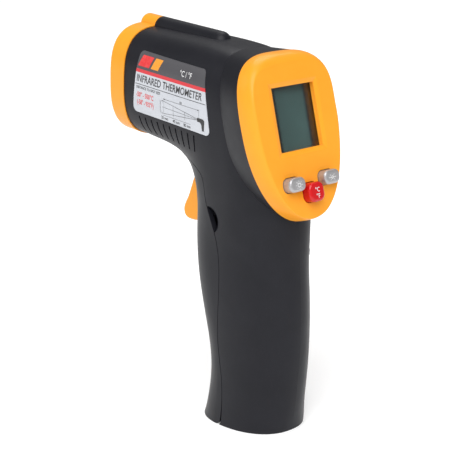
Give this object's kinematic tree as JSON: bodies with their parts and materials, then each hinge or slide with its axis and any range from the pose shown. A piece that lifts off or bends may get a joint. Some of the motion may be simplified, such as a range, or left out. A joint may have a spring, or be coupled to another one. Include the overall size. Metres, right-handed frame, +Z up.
{
  "type": "infrared thermometer",
  "caption": "Pistol-grip infrared thermometer with a tilted display, push buttons, trigger, laser pointer and a hinged battery door in the grip.",
  "frame": {"origin": "middle of the flat foot of the grip, on the surface that it stands on", "axes": "+Z up, -X towards the nose, display facing +X and up, label on the -Y side"},
  "size_m": [0.1039, 0.045, 0.1623],
  "materials": {
    "shell": "satin black",
    "yellow": "satin yellow-orange",
    "window": "clear",
    "lcd": "grey-green",
    "milky": "diffusing",
    "strip": "matte",
    "board": "green solder mask",
    "steel": "bright",
    "brass": "bright",
    "dark": "matte",
    "lens": "dark infrared lens",
    "grey_key": "satin metallic grey",
    "red_key": "gloss red",
    "frame": "natural grey",
    "cell": "printed jacket",
    "red_wire": "satin",
    "black_wire": "satin",
    "white_wire": "satin",
    "label": "laminated"
  },
  "bodies": {
    "root": {"left_shell": "shell", "right_shell": "shell", "nose_cap": "yellow", "display_bezel": "yellow", "display_window": "window", "lcd_glass": "lcd", "lcd_backlight": "milky", "upper_zebra_strip": "strip", "lower_zebra_strip": "strip", "main_board": "board", "sensor_board": "board", "board_screws": "steel", "case_screws": "steel", "buzzer": "dark", "light_switch": "dark", "laser_switch": "dark", "mode_switch": "dark", "sensor_tube": "dark", "sensor_lens": "lens", "thermopile": "steel", "laser_module": "brass", "laser_lens": "window", "trigger_pin": "steel", "trigger_bracket": "frame", "trigger_switch": "dark", "trigger_spring": "steel", "battery": "cell", "battery_snap": "dark", "battery_bay": "frame", "red_lead": "red_wire", "black_lead": "black_wire", "sensor_lead": "white_wire", "laser_lead": "red_wire", "switch_lead": "white_wire", "spec_label": "label", "hinge_pin": "steel"},
    "trigger": {"trigger": "yellow"},
    "light_button": {"light_button": "grey_key"},
    "laser_button": {"laser_button": "grey_key"},
    "mode_button": {"mode_button": "red_key"},
    "battery_door": {"battery_door": "shell"}
  },
  "joints": [
    {"name": "trigger_pull", "type": "hinge", "parent": "root", "child": "trigger", "pos_m": [-0.01642, 0, 0.10644], "axis": [0, -1, 0], "range_deg": [0, 5.5], "stiffness_Nm_per_rad": 0.6, "springref_deg": -5.73},
    {"name": "light_button_press", "type": "slide", "parent": "root", "child": "light_button", "axis": [-0.9799, 0, -0.1994], "range_m": [0, 0.0008], "stiffness_N_per_m": 1500, "springref_m": -0.0006},
    {"name": "laser_button_press", "type": "slide", "parent": "root", "child": "laser_button", "axis": [-0.9799, 0, -0.1994], "range_m": [0, 0.0008], "stiffness_N_per_m": 1500, "springref_m": -0.0006},
    {"name": "mode_button_press", "type": "slide", "parent": "root", "child": "mode_button", "axis": [-0.9799, 0, -0.1994], "range_m": [0, 0.0008], "stiffness_N_per_m": 1500, "springref_m": -0.0006},
    {"name": "battery_door_open", "type": "hinge", "parent": "root", "child": "battery_door", "pos_m": [-0.00495, 0, 0.00346], "axis": [0, -1, 0], "range_deg": [0, 65]}
  ]
}
